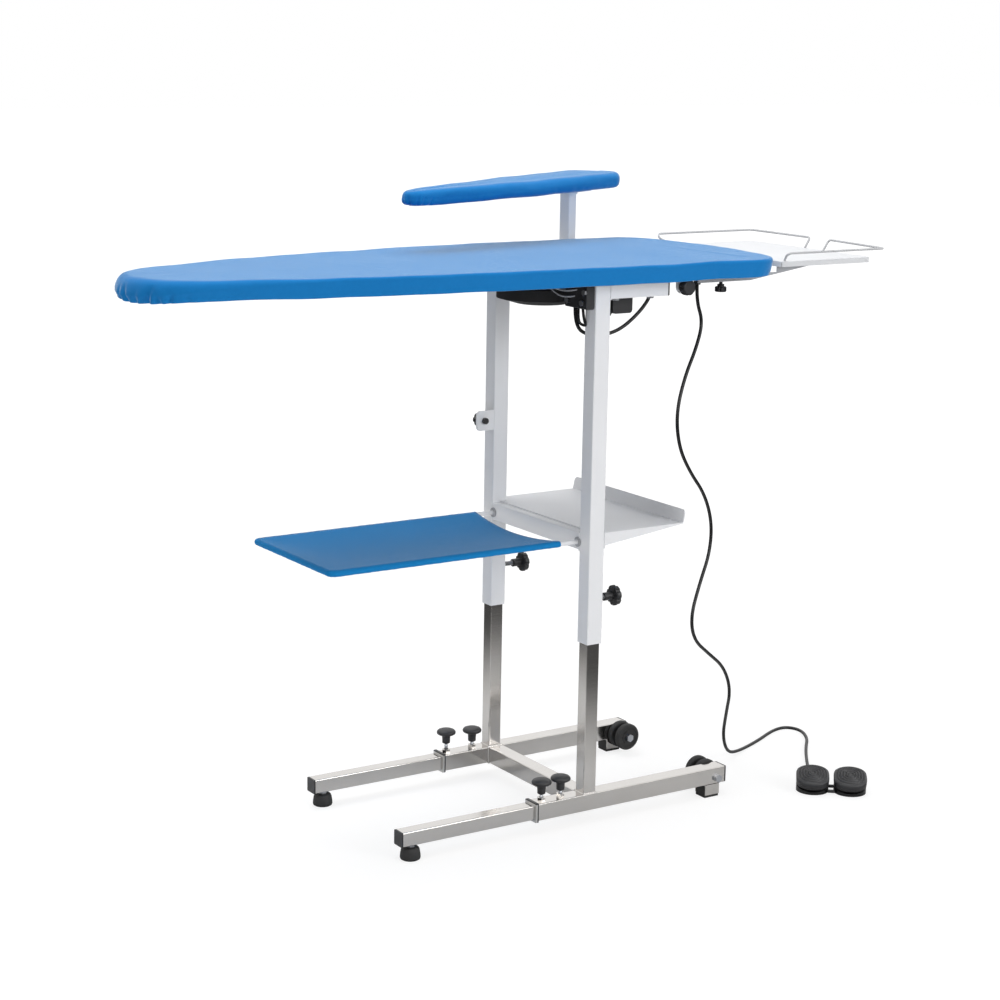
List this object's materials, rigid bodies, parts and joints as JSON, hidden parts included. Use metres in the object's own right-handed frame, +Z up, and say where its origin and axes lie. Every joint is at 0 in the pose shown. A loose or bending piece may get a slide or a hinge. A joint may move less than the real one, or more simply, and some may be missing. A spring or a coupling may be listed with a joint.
{
  "type": "ironing board",
  "caption": "Free-standing vacuum ironing board with a padded tapered top, swivelling sleeve board, iron rest, boiler tray, cloth rack and foot switches.",
  "frame": {"origin": "on the floor, under the middle of the whole object without its cord", "axes": "+X from the board's nose to the iron rest, +Y away from the person ironing, +Z up"},
  "size_m": [1.4409, 0.6314, 1.0781],
  "materials": {
    "white_paint": "smooth powder coat, light grey white",
    "grey_paint": "smooth powder coat, mid grey",
    "bright_steel": "polished stainless tube",
    "zinc": "zinc plated",
    "pan_steel": "galvanised sheet",
    "black_plastic": "moulded, slightly grained",
    "black_rubber": "matt rubber",
    "cord_black": "smooth cable sheath",
    "blue_cotton": "woven cotton cover",
    "white_felt": "pressed felt"
  },
  "bodies": {
    "base": {"base_frame": "bright_steel", "rail_collars": "black_plastic", "rail_end_caps": "black_plastic", "rear_channels": "bright_steel", "rear_pads": "black_rubber", "wheel_axles": "zinc", "pedal_bases": "black_plastic", "pedal_links": "black_plastic", "pedal_cord": "cord_black"},
    "upper": {"upper_frame": "white_paint", "arm_end_caps": "black_plastic", "board_bolts": "zinc", "boiler_tray": "white_paint", "vacuum_pan": "pan_steel", "perforated_plate": "pan_steel", "heating_element": "zinc", "heater_saddles": "zinc", "felt_pad": "white_felt", "board_cover": "blue_cotton", "fan_neck": "pan_steel", "fan_drum": "black_plastic", "fan_motor": "zinc", "hinge_bracket": "black_plastic", "bracket_bolts": "zinc", "control_box": "black_plastic", "rack_bushes": "grey_paint", "iron_guides": "grey_paint", "sleeve_bracket": "white_paint", "arm_bracket": "white_paint", "cord_gland": "black_plastic", "fan_cable": "cord_black"},
    "extension_near": {"extension_near": "bright_steel", "extension_cap_near": "black_plastic"},
    "extension_far": {"extension_far": "bright_steel", "extension_cap_far": "black_plastic"},
    "rack": {"rack_rod": "white_paint", "rack_cloth": "blue_cotton"},
    "iron_rest": {"iron_tray": "white_paint", "iron_runners": "grey_paint", "iron_guards": "white_paint"},
    "sleeve_board": {"sleeve_plate": "white_paint", "sleeve_pad": "blue_cotton", "sleeve_post": "white_paint"},
    "levelling_foot_near": {"levelling_foot_near": "black_rubber"},
    "levelling_foot_far": {"levelling_foot_far": "black_rubber"},
    "wheel_near": {"wheel_near": "black_rubber"},
    "wheel_far": {"wheel_far": "black_rubber"},
    "height_knob_near": {"height_knob_near": "black_plastic"},
    "height_knob_far": {"height_knob_far": "black_plastic"},
    "rail_knob_near_front": {"rail_knob_near_front": "black_plastic"},
    "rail_knob_near_rear": {"rail_knob_near_rear": "black_plastic"},
    "rail_knob_far_front": {"rail_knob_far_front": "black_plastic"},
    "rail_knob_far_rear": {"rail_knob_far_rear": "black_plastic"},
    "lug_knob": {"lug_knob": "black_plastic"},
    "arm_knob": {"arm_knob": "black_plastic"},
    "iron_rest_knob": {"iron_rest_knob": "black_plastic"},
    "fan_rotor": {"fan_rotor": "black_plastic"},
    "pedal_cap_left": {"pedal_cap_left": "black_plastic"},
    "pedal_cap_right": {"pedal_cap_right": "black_plastic"}
  },
  "joints": [
    {"name": "height_slide", "type": "slide", "parent": "base", "child": "upper", "axis": [0, 0, 1], "range_m": [-0.1, 0.05], "deforming": ["pedal_cord"]},
    {"name": "extension_slide_near", "type": "slide", "parent": "base", "child": "extension_near", "axis": [1, 0, 0], "range_m": [0, 0.18]},
    {"name": "extension_slide_far", "type": "slide", "parent": "base", "child": "extension_far", "axis": [1, 0, 0], "range_m": [0, 0.18]},
    {"name": "foot_turn_near", "type": "hinge", "parent": "extension_near", "child": "levelling_foot_near", "pos_m": [-0.2607, -0.16447, 0], "axis": [0, 0, 1], "continuous": true},
    {"name": "foot_turn_far", "type": "hinge", "parent": "extension_far", "child": "levelling_foot_far", "pos_m": [-0.2607, 0.13553, 0], "axis": [0, 0, 1], "continuous": true},
    {"name": "wheel_spin_near", "type": "hinge", "parent": "base", "child": "wheel_near", "pos_m": [0.3647, -0.16447, 0.034], "axis": [0, 1, 0], "continuous": true},
    {"name": "wheel_spin_far", "type": "hinge", "parent": "base", "child": "wheel_far", "pos_m": [0.3647, 0.13553, 0.034], "axis": [0, 1, 0], "continuous": true},
    {"name": "height_knob_turn_near", "type": "hinge", "parent": "upper", "child": "height_knob_near", "pos_m": [0.1033, -0.16447, 0.395], "axis": [1, 0, 0], "range_deg": [0, 360]},
    {"name": "height_knob_turn_far", "type": "hinge", "parent": "upper", "child": "height_knob_far", "pos_m": [0.1033, 0.13553, 0.389], "axis": [1, 0, 0], "range_deg": [0, 360]},
    {"name": "lug_knob_turn", "type": "hinge", "parent": "upper", "child": "lug_knob", "pos_m": [0.05405, 0.12453, 0.6575], "axis": [0, 1, 0], "range_deg": [0, 360]},
    {"name": "arm_knob_turn", "type": "hinge", "parent": "upper", "child": "arm_knob", "pos_m": [0.2493, -0.17947, 0.916], "axis": [0, -1, 0], "range_deg": [0, 360]},
    {"name": "iron_knob_turn", "type": "hinge", "parent": "upper", "child": "iron_rest_knob", "pos_m": [0.3483, -0.15817, 0.92], "axis": [0, 0, -1], "range_deg": [0, 360]},
    {"name": "rack_slide", "type": "slide", "parent": "upper", "child": "rack", "axis": [-1, 0, 0], "range_m": [-0.03, 0.03]},
    {"name": "iron_rest_slide", "type": "slide", "parent": "upper", "child": "iron_rest", "axis": [1, 0, 0], "range_m": [0, 0.08]},
    {"name": "sleeve_swivel", "type": "hinge", "parent": "upper", "child": "sleeve_board", "pos_m": [0.3023, 0.23653, 0.9], "axis": [0, 0, 1], "range_deg": [-180, 180]},
    {"name": "fan_spin", "type": "hinge", "parent": "upper", "child": "fan_rotor", "pos_m": [0.0783, -0.01447, 0.88], "axis": [0, 0, 1], "continuous": true},
    {"name": "rail_knob_turn_near_front", "type": "hinge", "parent": "base", "child": "rail_knob_near_front", "pos_m": [-0.0033, -0.16447, 0.06], "axis": [0, 0, 1], "range_deg": [0, 360]},
    {"name": "rail_knob_turn_near_rear", "type": "hinge", "parent": "base", "child": "rail_knob_near_rear", "pos_m": [0.0357, -0.16447, 0.06], "axis": [0, 0, 1], "range_deg": [0, 360]},
    {"name": "rail_knob_turn_far_front", "type": "hinge", "parent": "base", "child": "rail_knob_far_front", "pos_m": [-0.0083, 0.13553, 0.06], "axis": [0, 0, 1], "range_deg": [0, 360]},
    {"name": "rail_knob_turn_far_rear", "type": "hinge", "parent": "base", "child": "rail_knob_far_rear", "pos_m": [0.0467, 0.13553, 0.06], "axis": [0, 0, 1], "range_deg": [0, 360]},
    {"name": "pedal_press_left", "type": "slide", "parent": "base", "child": "pedal_cap_left", "axis": [0.152, 0.1882, -0.9703], "range_m": [0, 0.005], "stiffness_N_per_m": 1500, "springref_m": -0.003},
    {"name": "pedal_press_right", "type": "slide", "parent": "base", "child": "pedal_cap_right", "axis": [0.152, 0.1882, -0.9703], "range_m": [0, 0.005], "stiffness_N_per_m": 1500, "springref_m": -0.003}
  ]
}
